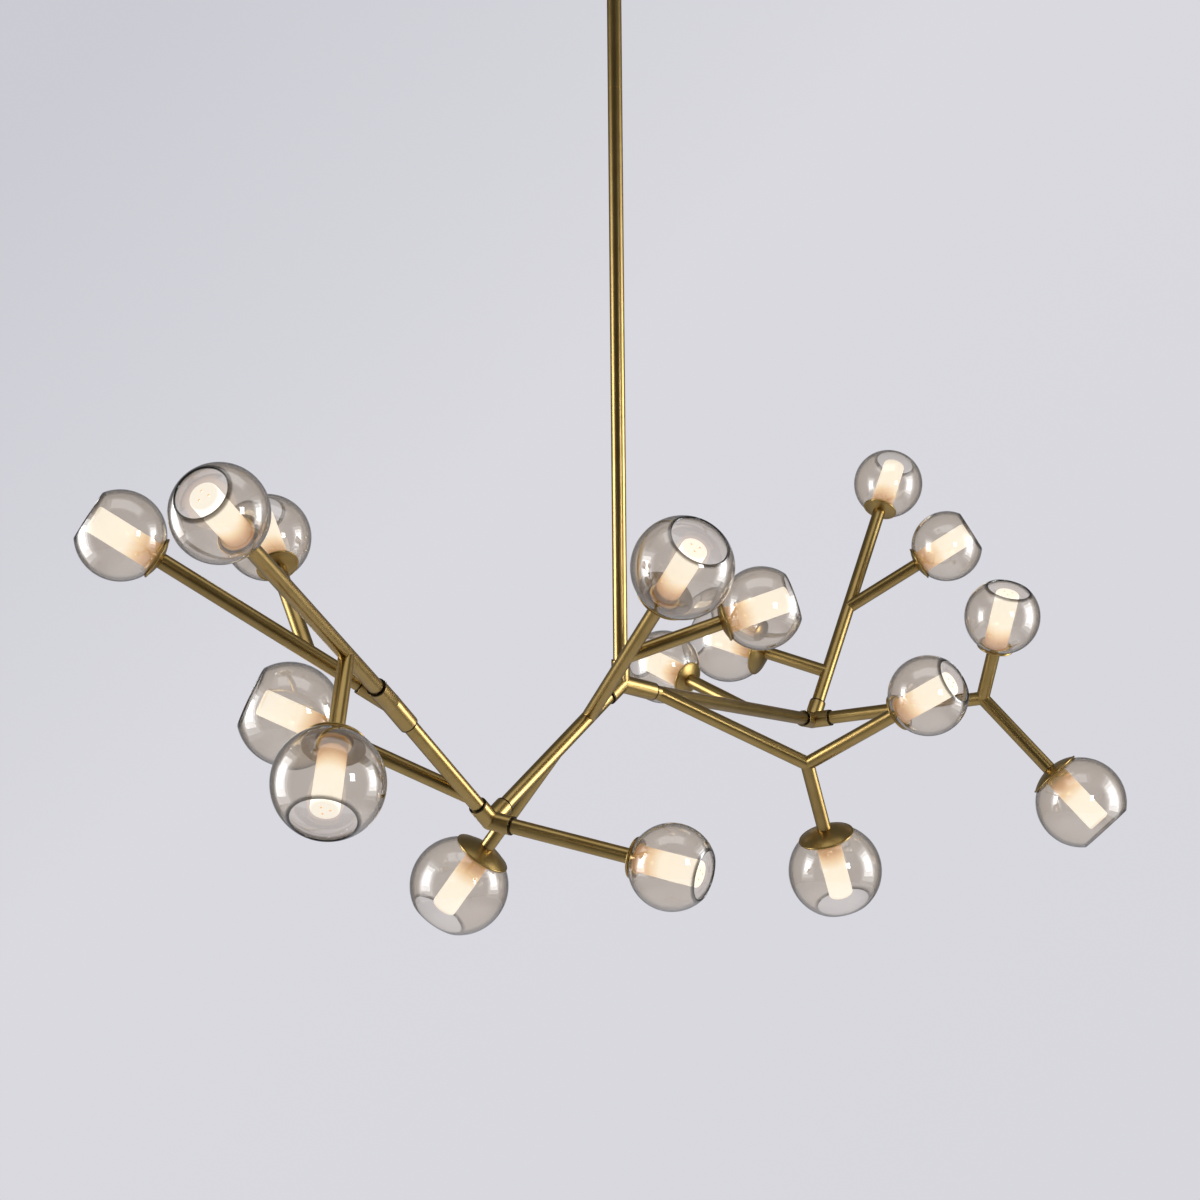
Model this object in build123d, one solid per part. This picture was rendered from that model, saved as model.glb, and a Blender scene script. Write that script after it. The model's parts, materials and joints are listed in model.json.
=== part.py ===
"""Cluster chandelier: brass tube branches with open glass globes, hung on a stem from the ceiling.

Millimetres. Origin on the ceiling at the stem's axis, +Z up, +X to the right, +Y to the back.
"""
import os
from math import radians, sqrt, tan
from typing import NamedTuple

from build123d import *

os.makedirs("parts", exist_ok=True)


class Reach(NamedTuple):
    """A straight run: its length, heading from +X towards +Y and rise above level."""

    length: float
    heading_deg: float
    rise_deg: float


class HeadSize(NamedTuple):
    """The sizes that differ between the small and the large lamp heads."""

    globe_d: float
    mouth_d: float
    cap_d: float
    neck: float


# Lamp heads
SMALL = HeadSize(globe_d=100.0, mouth_d=59.0, cap_d=49.0, neck=0.3)
LARGE = HeadSize(globe_d=120.0, mouth_d=73.0, cap_d=72.0, neck=11.0)
GLASS_WALL = 2.6
RIM_ROUND_SHARE = 0.42
NECK_HOLE_D = 28.0
CAP_WALL = 1.8
CAP_ROUND_SHARE = 0.4
CAP_FIT = 0.2
SEAT_MARGIN = 0.4
STUD_D = 10.0
STUD_GRIP = 7.0
STUD_FIT = 0.1
WIREWAY_D = 6.0
FLANGE_D = 38.0
FLANGE_T = 2.5
FLANGE_FIT = 0.1
SLEEVE_D = 31.0
SLEEVE_WALL = 2.0
SLEEVE_LENGTH = 76.0
SLEEVE_ROUND = 3.0
SLEEVE_FIT = 0.2
SPIGOT_LENGTH = 14.0
VENT_D = 2.6
VENT_CIRCLE_D = 12.0
VENT_COUNT = 3
PIN_PITCH = 9.0
PIN_D = 1.0
PIN_LENGTH = 9.0
PIN_FIT = 0.2
LAMP_D = 16.0
LAMP_LENGTH = 46.0
LAMP_ROUND_SHARE = 0.75

# Tubes and hub sockets
TUBE_D = 18.0
TUBE_WALL = 1.0
PLUG_T = 8.0
BRAZE_GAP = 0.05
WIRE_HOLE_D = 5.0
DOME_FLAT_R = 1.0
SOCKET_FIT = 0.08
SOCKET_WALL = 1.7
SOCKET_GRIP = 16.0
FORK_GAP = 2.0
SOCKET_ROUND = 0.5
HUB_SWELL = 0.5
SEAT_MIN = 12.0
TURN_PLAY = 0.3
HUB_WIREWAY_D = 11.0
SCREW_D = 3.0
SCREW_FIT = 0.05
SCREW_HEAD_D = 5.0
SCREW_HEAD_T = 1.6

# Stem, swivel and ceiling fittings
LOWER_STEM = 735.0
UPPER_STEM = 260.0
SEAM_CHAMFER = 0.4
COUPLER_LENGTH = 44.0
COUPLER_FIT = 0.08
BRACKET_LENGTH = 108.0
BRACKET_WIDTH = 26.0
BRACKET_T = 2.5
BRACKET_DROP = 12.0
BRACKET_FOOT = 24.0
SLOT_INSET = 10.0
SLOT_D = 5.0
SLOT_LENGTH = 12.0
SPIGOT_D = 10.0
SPIGOT_FIT = 0.1
SPIGOT_PROUD = 1.0
NUT_FLATS = 17.0
NUT_T = 5.0
HOUSING_D = 26.0
HOUSING_WALL = 4.0
SWIVEL_HEAD_D = 16.0
SWIVEL_HEAD_T = 6.0
SWIVEL_SHANK_D = 11.0
SWIVEL_FIT = 0.1
SWIVEL_PLAY = 0.3
SWIVEL_COLLAR_T = 4.0
SWIVEL_PLUG = 18.0
SWIVEL_WIREWAY_D = 6.0
CANOPY_MARGIN = 32.0
CANOPY_H = 58.0
CANOPY_WALL = 1.5
CANOPY_ROUND = 6.0
CANOPY_FIT = 0.4
COLLAR_D = 30.0
COLLAR_H = 14.0
COLLAR_ROUND = 1.0
BLOCK_LENGTH = 27.0
BLOCK_WIDTH = 16.0
BLOCK_H = 14.0
BLOCK_WAYS = 3
BLOCK_PITCH = 9.0
BLOCK_WELL_D = 4.5
BLOCK_WIRE_D = 3.5
BLOCK_GAP = 1.0

# Layout of the branches
FRONT_LINK = Reach(length=286.0, heading_deg=-129.5, rise_deg=-32.0)
LEFT_LINK = Reach(length=220.0, heading_deg=-128.5, rise_deg=40.5)
RIGHT_STUB = Reach(length=64.0, heading_deg=40.0, rise_deg=-12.5)
LOW_ARM = Reach(length=218.0, heading_deg=16.0, rise_deg=-25.5)
REAR_LINK = Reach(length=442.0, heading_deg=59.5, rise_deg=-7.0)
FAR_ARM = Reach(length=257.0, heading_deg=-30.5, rise_deg=7.5)
REACH_1 = Reach(length=347.0, heading_deg=-166.0, rise_deg=32.5)
REACH_2 = Reach(length=431.0, heading_deg=-110.5, rise_deg=27.5)
REACH_3 = Reach(length=179.0, heading_deg=117.5, rise_deg=46.0)
REACH_4 = Reach(length=228.0, heading_deg=-169.5, rise_deg=25.5)
REACH_5 = Reach(length=175.0, heading_deg=-94.0, rise_deg=-47.5)
REACH_6 = Reach(length=208.0, heading_deg=158.5, rise_deg=-52.0)
REACH_7 = Reach(length=233.0, heading_deg=-24.5, rise_deg=-11.5)
REACH_8 = Reach(length=283.0, heading_deg=-60.0, rise_deg=39.0)
REACH_9 = Reach(length=169.0, heading_deg=1.5, rise_deg=19.0)
REACH_10 = Reach(length=158.0, heading_deg=153.5, rise_deg=16.5)
REACH_11 = Reach(length=152.0, heading_deg=137.5, rise_deg=20.5)
REACH_12 = Reach(length=410.0, heading_deg=55.5, rise_deg=55.5)
REACH_13 = Reach(length=165.0, heading_deg=-8.5, rise_deg=31.5)
REACH_14 = Reach(length=124.0, heading_deg=-70.5, rise_deg=62.5)
REACH_15 = Reach(length=192.0, heading_deg=-33.0, rise_deg=27.5)
REACH_16 = Reach(length=190.0, heading_deg=-15.5, rise_deg=-47.0)
REACH_17 = Reach(length=155.0, heading_deg=52.0, rise_deg=-66.0)
BRANCH_8_AT = 74.0
BRANCH_6_AT = 148.0
BRANCH_9_AT = 120.0
BRANCH_4_AT = 46.0
BRANCH_3_AT = 108.0
BRANCH_5_AT = 121.0
BRANCH_11_AT = 235.0
BRANCH_13_AT = 190.0
BRANCH_10_AT = 80.0

# Values that follow from the sizes above
tube_r = TUBE_D / 2
bore_r = tube_r - TUBE_WALL
socket_r = tube_r + SOCKET_FIT + SOCKET_WALL
plate_z = -BRACKET_DROP - BRACKET_T
housing_h = 2 * HOUSING_WALL + SWIVEL_HEAD_T + SWIVEL_PLAY
shank_z = plate_z - housing_h - SWIVEL_PLAY
stem_top_z = shank_z - SWIVEL_COLLAR_T
seam_z = stem_top_z - UPPER_STEM
hub_z = seam_z - LOWER_STEM
UP = (Align.CENTER, Align.CENTER, Align.MIN)


def unit(reach):
    """Direction of a run as a unit vector."""
    return Vector(1, 0, 0).rotate(Axis.Y, -reach.rise_deg).rotate(Axis.Z, reach.heading_deg)


def along(start, reach, distance=None):
    """Point on a run, at its far end unless a distance from its start is given."""
    return start + unit(reach) * (reach.length if distance is None else distance)


def rod(start, end, radius):
    """Solid round bar between two points."""
    return Plane(origin=start, z_dir=end - start) * Cylinder(radius, (end - start).length, align=UP)


def spun(points):
    """Solid turned from a closed outline of (radius, height) points."""
    return revolve(Plane.XZ * make_face(Polyline(*points, close=True)), axis=Axis.Z)


def box_from(low_x, low_y, high_x, high_y):
    """Rectangle between two corners."""
    middle = Pos((low_x + high_x) / 2, (low_y + high_y) / 2)
    return middle * Rectangle(high_x - low_x, high_y - low_y)


def cap_seat(size):
    """Distance from the globe's centre to the flat on the cap that the tube stands on."""
    top = size.globe_d / 2 + CAP_FIT + CAP_WALL
    return sqrt(top**2 - (tube_r + SEAT_MARGIN) ** 2)


def flange_seat(size):
    """Height of the flange's underside, just clear of the glass at its rim."""
    inner = size.globe_d / 2 - GLASS_WALL
    return FLANGE_FIT - sqrt(inner**2 - (FLANGE_D / 2) ** 2)


def sleeve_seat(size):
    """Height of the shoulder that the frosted sleeve stands on."""
    return flange_seat(size) + FLANGE_T + size.neck


def glass_shade(size):
    """Open glass globe about its own centre, mouth towards +Z."""
    outer = size.globe_d / 2
    mouth_z = sqrt(outer**2 - (size.mouth_d / 2) ** 2)
    band = Circle(outer) - Circle(outer - GLASS_WALL)
    outline = band & box_from(NECK_HOLE_D / 2, -outer, outer, mouth_z)
    outline = fillet(outline.vertices().group_by(Axis.Y)[-1], GLASS_WALL * RIM_ROUND_SHARE)
    return revolve(Plane.XZ * outline, axis=Axis.Z)


def cap(size):
    """Domed cap that hugs the back of the globe, with a flat for the tube."""
    inner = size.globe_d / 2 + CAP_FIT
    band = Circle(inner + CAP_WALL) - Circle(inner)
    outline = band & box_from(STUD_D / 2 + STUD_FIT, -cap_seat(size), size.cap_d / 2, 0)
    outline = fillet(outline.vertices().group_by(Axis.X)[-1], CAP_WALL * CAP_ROUND_SHARE)
    return revolve(Plane.XZ * outline, axis=Axis.Z)


def lampholder(size):
    """Lampholder with threaded stud, glass-clamping flange, shoulder and spigot for the sleeve."""
    flange_z = flange_seat(size)
    sleeve_z = sleeve_seat(size)
    holder_top_z = sleeve_z + SPIGOT_LENGTH
    foot_z = -cap_seat(size) - STUD_GRIP
    spigot_r = SLEEVE_D / 2 - SLEEVE_WALL - SLEEVE_FIT
    body = spun([
        (0, foot_z),
        (STUD_D / 2, foot_z),
        (STUD_D / 2, flange_z),
        (FLANGE_D / 2, flange_z),
        (FLANGE_D / 2, flange_z + FLANGE_T),
        (SLEEVE_D / 2, flange_z + FLANGE_T),
        (SLEEVE_D / 2, sleeve_z),
        (spigot_r, sleeve_z),
        (spigot_r, holder_top_z),
        (0, holder_top_z),
    ])
    wireway = Pos(0, 0, foot_z) * Cylinder(WIREWAY_D / 2, flange_z + FLANGE_T - foot_z, align=UP)
    pin_hole = Cylinder(PIN_D / 2 + PIN_FIT, PIN_LENGTH + PIN_FIT, align=UP)
    hole_z = holder_top_z - PIN_LENGTH - PIN_FIT
    for side in (-1, 1):
        body -= Pos(side * PIN_PITCH / 2, 0, hole_z) * pin_hole
    return body - wireway


def lamp(size):
    """Two-pin lamp capsule standing on the lampholder."""
    holder_top_z = sleeve_seat(size) + SPIGOT_LENGTH
    capsule = Cylinder(LAMP_D / 2, LAMP_LENGTH, align=UP)
    capsule = fillet(capsule.edges().group_by(Axis.Z)[-1], LAMP_D / 2 * LAMP_ROUND_SHARE)
    capsule = Pos(0, 0, holder_top_z) * capsule
    pin = Cylinder(PIN_D / 2, PIN_LENGTH, align=UP)
    for side in (-1, 1):
        capsule += Pos(side * PIN_PITCH / 2, 0, holder_top_z - PIN_LENGTH) * pin
    return capsule


def frosted_sleeve(size):
    """Frosted cover over the lamp, closed at the tip apart from its vent holes."""
    cover = Cylinder(SLEEVE_D / 2, SLEEVE_LENGTH, align=UP)
    cover = fillet(cover.edges().group_by(Axis.Z)[-1], SLEEVE_ROUND)
    hollow = Cylinder(SLEEVE_D / 2 - SLEEVE_WALL, SLEEVE_LENGTH - SLEEVE_WALL, align=UP)
    hollow = fillet(hollow.edges().group_by(Axis.Z)[-1], SLEEVE_ROUND - SLEEVE_WALL / 2)
    vents = PolarLocations(VENT_CIRCLE_D / 2, VENT_COUNT) * Cylinder(VENT_D / 2, SLEEVE_LENGTH, align=UP)
    cover -= hollow
    for vent in vents:
        cover -= Pos(0, 0, SLEEVE_LENGTH / 2) * vent
    return Pos(0, 0, sleeve_seat(size)) * cover


class Head(NamedTuple):
    """One lamp head: its number, size, globe centre and the way its mouth faces."""

    number: int
    size: HeadSize
    centre: Vector
    facing: Vector

    def place(self, piece):
        """Set a piece made about the globe's centre in its place."""
        return Plane(origin=self.centre, z_dir=self.facing) * piece

    def tube_end(self):
        """Point where the tube stands on the cap."""
        return self.centre - self.facing * cap_seat(self.size)


def head_on(number, size, start, reach):
    """Lamp head at the end of a run."""
    return Head(number, size, along(start, reach), unit(reach))


def socket_seat(ways):
    """Distance from a hub's centre to where tubes stop, clear of each other at the sharpest angle."""
    pairs = [(a, b) for i, a in enumerate(ways) for b in ways[i + 1:]]
    sharpest = min(a.get_angle(b) for a, b in pairs)
    return max(SEAT_MIN, (socket_r - SOCKET_WALL / 2) / tan(radians(sharpest / 2)))


class Hub(NamedTuple):
    """A junction with one socket in each of its ways, one of which may reach further than the rest."""

    centre: Vector
    ways: list
    long_way: Vector = None
    long_reach: float = 0.0

    def seat(self, way, play=0.0):
        """Point where the tube in a way begins."""
        return self.centre + way * (socket_seat(self.ways) + play)

    def rim(self, way):
        """Centre of a socket's rim."""
        reach = self.long_reach if way is self.long_way else socket_seat(self.ways) + SOCKET_GRIP
        return self.centre + way * reach

    def screw_axis(self, way):
        """Plane on a socket's axis, square to it, that its set screw stands on."""
        other = min((w for w in self.ways if w is not way), key=lambda w: way.get_angle(w))
        side = way.cross(other).normalized()
        side = side if side.Y > 0 else side * -1
        return Plane(origin=self.seat(way) + way * (SOCKET_GRIP / 2), z_dir=side)

    def solid(self):
        """The hub's metal."""
        body = Pos(*self.centre) * Sphere(socket_r + HUB_SWELL)
        for way in self.ways:
            socket = Cylinder(socket_r, (self.rim(way) - self.centre).length, align=UP)
            socket = fillet(socket.edges().group_by(Axis.Z)[-1], SOCKET_ROUND)
            body += Plane(origin=self.centre, z_dir=way) * socket
        body -= Pos(*self.centre) * Sphere(HUB_WIREWAY_D / 2 + HUB_SWELL)
        for way in self.ways:
            body -= rod(self.centre, self.rim(way), HUB_WIREWAY_D / 2)
            body -= rod(self.seat(way), self.rim(way), tube_r + SOCKET_FIT)
            body -= self.screw_axis(way) * Cylinder(SCREW_D / 2 + SCREW_FIT, 2 * socket_r, align=UP)
        return body

    def screws(self):
        """One set screw for each socket, its tip just clear of the tube."""
        tip = tube_r + TURN_PLAY
        shank = Pos(0, 0, tip) * Cylinder(SCREW_D / 2, socket_r - tip, align=UP)
        button = Pos(0, 0, socket_r) * Cylinder(SCREW_HEAD_D / 2, SCREW_HEAD_T, align=UP)
        return [self.screw_axis(way) * (shank + button) for way in self.ways]


class Leg(NamedTuple):
    """One straight tube, plugged at its end when it carries a lamp head, or domed over at its start."""

    start: Vector
    end: Vector
    plugged: bool = False
    domed: bool = False

    def form(self, radius):
        """Round bar on the tube's axis, with the dome if it has one."""
        if not self.domed:
            return rod(self.start, self.end, radius)
        length = (self.end - self.start).length
        tip = sqrt(radius**2 - DOME_FLAT_R**2)
        dome = ThreePointArc((DOME_FLAT_R, -tip), (radius * sqrt(0.5), -radius * sqrt(0.5)), (radius, 0))
        rest = Polyline((radius, 0), (radius, length), (0, length), (0, -tip), (DOME_FLAT_R, -tip))
        bar = revolve(Plane.XZ * make_face([dome, rest]), axis=Axis.Z)
        return Plane(origin=self.start, z_dir=self.end - self.start) * bar

    def tube(self):
        """The hollow tube, with a stud hole through its plug."""
        if not self.plugged:
            return self.form(tube_r) - rod(self.start, self.end, bore_r)
        plug_start = self.end - (self.end - self.start).normalized() * PLUG_T
        stud_hole = rod(plug_start, self.end, STUD_D / 2 + STUD_FIT)
        return self.form(tube_r) - rod(self.start, plug_start, bore_r) - stud_hole


def brazed(legs):
    """Tubes brazed together, each coped round those before it and drilled for the wires of the rest."""
    tubes = []
    for number, leg in enumerate(legs):
        tube = leg.tube()
        for earlier in legs[:number]:
            tube -= earlier.form(tube_r + BRAZE_GAP)
        for later in legs[number + 1:] if not leg.domed else []:
            tube -= rod(later.start, later.end, WIRE_HOLE_D / 2)
        tubes.append(tube)
    return tubes


def save(node, *pieces):
    """Write one node, a single solid or a group of alike ones."""
    solids = [solid for piece in pieces for solid in piece.solids()]
    shape = solids[0] if len(solids) == 1 else Compound(children=solids)
    export_step(shape, "parts/" + node + ".step")


def save_heads(body, heads):
    """Write the lamp heads of one body, each kind of piece in a node of its own."""
    save(body + "_shades", *[head.place(glass_shade(head.size)) for head in heads])
    save(body + "_caps", *[head.place(cap(head.size)) for head in heads])
    save(body + "_lampholders", *[head.place(lampholder(head.size)) for head in heads])
    save(body + "_lamps", *[head.place(lamp(head.size)) for head in heads])
    save(body + "_sleeves", *[head.place(frosted_sleeve(head.size)) for head in heads])


# Junction points
centre_point = Vector(0, 0, hub_z)
front_point = along(centre_point, FRONT_LINK)
left_point = along(front_point, LEFT_LINK)
right_fork = along(centre_point, RIGHT_STUB)
low_fork = along(right_fork, LOW_ARM)
rear_point = along(right_fork, REAR_LINK)
far_fork = along(rear_point, FAR_ARM)

up_way, front_way, right_way = Vector(0, 0, 1), unit(FRONT_LINK), unit(RIGHT_STUB)
right_rim = RIGHT_STUB.length - tube_r - FORK_GAP
centre_hub = Hub(centre_point, [up_way, front_way, right_way], long_way=right_way, long_reach=right_rim)
front_hub = Hub(front_point, [unit(FRONT_LINK) * -1, unit(LEFT_LINK), unit(REACH_7)])
left_hub = Hub(left_point, [unit(LEFT_LINK) * -1, unit(REACH_1), unit(REACH_2)])
rear_hub = Hub(rear_point, [unit(REAR_LINK) * -1, unit(REACH_12), unit(FAR_ARM)])
front_back_way, front_left_way, short_way = front_hub.ways
left_back_way, left_way, front_arm_way = left_hub.ways
rear_back_way, tall_way, far_way = rear_hub.ways

# Branch points on the runs
branch_8 = along(centre_point, FRONT_LINK, BRANCH_8_AT)
branch_6 = along(centre_point, FRONT_LINK, BRANCH_6_AT)
branch_9 = along(branch_8, REACH_8, BRANCH_9_AT)
branch_4 = along(front_point, LEFT_LINK, BRANCH_4_AT)
branch_3 = along(left_point, REACH_1, BRANCH_3_AT)
branch_5 = along(left_point, REACH_2, BRANCH_5_AT)
branch_11 = along(right_fork, REAR_LINK, BRANCH_11_AT)
branch_13 = along(rear_point, REACH_12, BRANCH_13_AT)
branch_10 = along(rear_point, REACH_12, BRANCH_10_AT)

# Lamp heads
head_1 = head_on(1, SMALL, left_point, REACH_1)
head_2 = head_on(2, SMALL, left_point, REACH_2)
head_3 = head_on(3, SMALL, branch_3, REACH_3)
head_4 = head_on(4, LARGE, branch_4, REACH_4)
head_5 = head_on(5, LARGE, branch_5, REACH_5)
head_6 = head_on(6, LARGE, branch_6, REACH_6)
head_7 = head_on(7, SMALL, front_point, REACH_7)
head_8 = head_on(8, LARGE, branch_8, REACH_8)
head_9 = head_on(9, SMALL, branch_9, REACH_9)
head_10 = head_on(10, LARGE, branch_10, REACH_10)
head_11 = head_on(11, SMALL, branch_11, REACH_11)
head_12 = head_on(12, SMALL, rear_point, REACH_12)
head_13 = head_on(13, SMALL, branch_13, REACH_13)
head_14 = head_on(14, SMALL, far_fork, REACH_14)
head_15 = head_on(15, SMALL, low_fork, REACH_15)
head_16 = head_on(16, LARGE, far_fork, REACH_16)
head_17 = head_on(17, LARGE, low_fork, REACH_17)

save_heads("frame", [head_4, head_6, head_7, head_8, head_9, head_11, head_15, head_17])
save_heads("left_arm", [head_1, head_3])
save_heads("front_arm", [head_2, head_5])
save_heads("tall_arm", [head_10, head_12, head_13])
save_heads("right_arm", [head_14, head_16])

# Hubs and their set screws
save("centre_hub", centre_hub.solid())
save("front_hub", front_hub.solid())
save("left_hub", left_hub.solid())
save("rear_hub", rear_hub.solid())
save("socket_screws", *[s for hub in (centre_hub, front_hub, left_hub, rear_hub) for s in hub.screws()])

# Fixed tubes
link, arm_8, arm_9, arm_6 = brazed([
    Leg(centre_hub.seat(front_way), front_hub.seat(front_back_way)),
    Leg(branch_8, head_8.tube_end(), plugged=True),
    Leg(branch_9, head_9.tube_end(), plugged=True),
    Leg(branch_6, head_6.tube_end(), plugged=True),
])
save("front_link_tube", link)
save("front_branch_tubes", arm_8, arm_9, arm_6)
link, arm_4 = brazed([
    Leg(front_hub.seat(front_left_way), left_hub.seat(left_back_way)),
    Leg(branch_4, head_4.tube_end(), plugged=True),
])
save("left_link_tube", link)
save("left_branch_tube", arm_4)
save("short_arm_tube", *brazed([Leg(front_hub.seat(short_way), head_7.tube_end(), plugged=True)]))
arm_15, low_arm, stub, link, arm_11, arm_17 = brazed([
    Leg(low_fork, head_15.tube_end(), plugged=True, domed=True),
    Leg(right_fork, low_fork, domed=True),
    Leg(right_fork, centre_hub.seat(right_way)),
    Leg(right_fork, rear_hub.seat(rear_back_way)),
    Leg(branch_11, head_11.tube_end(), plugged=True),
    Leg(low_fork, head_17.tube_end(), plugged=True),
])
save("right_stub_tube", stub)
save("rear_link_tube", link)
save("low_arm_tube", low_arm)
save("right_branch_tubes", arm_11, arm_15, arm_17)

# Turning arms
arm_1, arm_3 = brazed([
    Leg(left_hub.seat(left_way, TURN_PLAY), head_1.tube_end(), plugged=True),
    Leg(branch_3, head_3.tube_end(), plugged=True),
])
save("left_arm_tube", arm_1)
save("left_arm_branch_tube", arm_3)
arm_2, arm_5 = brazed([
    Leg(left_hub.seat(front_arm_way, TURN_PLAY), head_2.tube_end(), plugged=True),
    Leg(branch_5, head_5.tube_end(), plugged=True),
])
save("front_arm_tube", arm_2)
save("front_arm_branch_tube", arm_5)
arm_12, arm_13, arm_10 = brazed([
    Leg(rear_hub.seat(tall_way, TURN_PLAY), head_12.tube_end(), plugged=True),
    Leg(branch_13, head_13.tube_end(), plugged=True),
    Leg(branch_10, head_10.tube_end(), plugged=True),
])
save("tall_arm_tube", arm_12)
save("tall_arm_branch_tubes", arm_13, arm_10)
arm_16, far_arm, arm_14 = brazed([
    Leg(far_fork, head_16.tube_end(), plugged=True, domed=True),
    Leg(far_fork, rear_hub.seat(far_way, TURN_PLAY)),
    Leg(far_fork, head_14.tube_end(), plugged=True),
])
save("right_arm_tube", far_arm)
save("right_arm_branch_tubes", arm_14, arm_16)

# Stem
stem_foot = centre_hub.seat(up_way)
seam = Vector(0, 0, seam_z)
lower, = brazed([Leg(stem_foot, seam)])
upper, = brazed([Leg(seam, Vector(0, 0, stem_top_z))])
lower_lip = lower.edges().group_by(Axis.Z)[-1].sort_by(SortBy.RADIUS)[-1]
upper_lip = upper.edges().group_by(Axis.Z)[0].sort_by(SortBy.RADIUS)[-1]
save("stem_lower", chamfer(lower_lip, SEAM_CHAMFER))
save("stem_upper", chamfer(upper_lip, SEAM_CHAMFER))
coupler = Pos(0, 0, seam_z) * Cylinder(bore_r - COUPLER_FIT, COUPLER_LENGTH)
save("stem_coupler", coupler - Pos(0, 0, seam_z) * Cylinder(HUB_WIREWAY_D / 2, COUPLER_LENGTH))

# Swivel at the top of the stem
head_low_z = plate_z - HOUSING_WALL - SWIVEL_HEAD_T
swivel_stud = spun([
    (SWIVEL_WIREWAY_D / 2, head_low_z + SWIVEL_HEAD_T),
    (SWIVEL_HEAD_D / 2, head_low_z + SWIVEL_HEAD_T),
    (SWIVEL_HEAD_D / 2, head_low_z),
    (SWIVEL_SHANK_D / 2, head_low_z),
    (SWIVEL_SHANK_D / 2, shank_z),
    (tube_r, shank_z),
    (tube_r, stem_top_z),
    (bore_r - COUPLER_FIT, stem_top_z),
    (bore_r - COUPLER_FIT, stem_top_z - SWIVEL_PLUG),
    (SWIVEL_WIREWAY_D / 2, stem_top_z - SWIVEL_PLUG),
])
save("swivel_stud", swivel_stud)

spigot_top_z = -BRACKET_DROP + NUT_T + SPIGOT_PROUD
housing_low_z = plate_z - housing_h
cavity_top_z = head_low_z + SWIVEL_HEAD_T + SWIVEL_PLAY
cavity_low_z = head_low_z - SWIVEL_PLAY
swivel_housing = spun([
    (SWIVEL_WIREWAY_D / 2, spigot_top_z),
    (SPIGOT_D / 2, spigot_top_z),
    (SPIGOT_D / 2, plate_z),
    (HOUSING_D / 2, plate_z),
    (HOUSING_D / 2, housing_low_z),
    (SWIVEL_SHANK_D / 2 + SWIVEL_FIT, housing_low_z),
    (SWIVEL_SHANK_D / 2 + SWIVEL_FIT, cavity_low_z),
    (SWIVEL_HEAD_D / 2 + SWIVEL_PLAY, cavity_low_z),
    (SWIVEL_HEAD_D / 2 + SWIVEL_PLAY, cavity_top_z),
    (SWIVEL_WIREWAY_D / 2, cavity_top_z),
])
save("swivel_housing", swivel_housing)

# Ceiling fittings
nut = extrude(RegularPolygon(NUT_FLATS / 2, 6, major_radius=False), NUT_T)
nut -= Cylinder(SPIGOT_D / 2 + SPIGOT_FIT, NUT_T, align=UP)
save("hanger_nut", Pos(0, 0, -BRACKET_DROP) * nut)

span = BRACKET_LENGTH - 2 * BRACKET_FOOT
strip = Pos(0, 0, -BRACKET_T / 2) * Box(BRACKET_LENGTH, BRACKET_WIDTH, BRACKET_T)
strip -= Pos(0, 0, -BRACKET_T / 2) * Box(span, BRACKET_WIDTH, BRACKET_T)
leg_h = BRACKET_DROP + BRACKET_T
for side in (-1, 1):
    strip += Pos(side * (span + BRACKET_T) / 2, 0, -leg_h / 2) * Box(BRACKET_T, BRACKET_WIDTH, leg_h)
strip += Pos(0, 0, plate_z + BRACKET_T / 2) * Box(span, BRACKET_WIDTH, BRACKET_T)
strip -= Pos(0, 0, plate_z) * Cylinder(SPIGOT_D / 2 + SPIGOT_FIT, BRACKET_T, align=UP)
slot = extrude(SlotOverall(SLOT_LENGTH, SLOT_D), BRACKET_T)
for side in (-1, 1):
    strip -= Pos(side * (BRACKET_LENGTH / 2 - SLOT_INSET), 0, -BRACKET_T) * slot
save("ceiling_bracket", strip)

block = Pos(0, 0, -BLOCK_H / 2) * Box(BLOCK_LENGTH, BLOCK_WIDTH, BLOCK_H)
for way in range(BLOCK_WAYS):
    well_x = (way - (BLOCK_WAYS - 1) / 2) * BLOCK_PITCH
    block -= Pos(well_x, 0, -BLOCK_H) * Cylinder(BLOCK_WELL_D / 2, BLOCK_H / 2, align=UP)
    block -= Pos(well_x, 0, -BLOCK_H / 2) * Rot(X=90) * Cylinder(BLOCK_WIRE_D / 2, BLOCK_WIDTH)
block_x = HOUSING_D / 2 + BLOCK_GAP + BLOCK_WIDTH / 2
save("terminal_block", Pos(block_x, 0, plate_z) * Rot(Z=90) * block)

# Canopy
canopy_r = (BRACKET_LENGTH + CANOPY_MARGIN) / 2
cup = Cylinder(canopy_r, CANOPY_H, align=UP)
cup = fillet(cup.edges().group_by(Axis.Z)[0], CANOPY_ROUND)
room = Pos(0, 0, CANOPY_WALL) * Cylinder(canopy_r - CANOPY_WALL, CANOPY_H - CANOPY_WALL, align=UP)
room = fillet(room.edges().group_by(Axis.Z)[0], CANOPY_ROUND - CANOPY_WALL)
cup -= room
cup -= Cylinder(tube_r + CANOPY_FIT, CANOPY_WALL, align=UP)
save("canopy_cover", Pos(0, 0, -CANOPY_H) * cup)
collar = Cylinder(COLLAR_D / 2, COLLAR_H, align=UP)
collar = fillet(collar.edges().group_by(Axis.Z)[0], COLLAR_ROUND)
collar -= Cylinder(tube_r + SOCKET_FIT, COLLAR_H, align=UP)
save("canopy_collar", Pos(0, 0, -CANOPY_H - COLLAR_H) * collar)
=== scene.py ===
"""Looks of the cluster chandelier: smoked glass globes, satin brass branches and glowing frosted sleeves."""

import json
import logging
import math
from dataclasses import dataclass, field
from enum import Enum
from typing import Callable

import bmesh
import bpy
import numpy as np
from mathutils import Matrix, Vector

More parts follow.
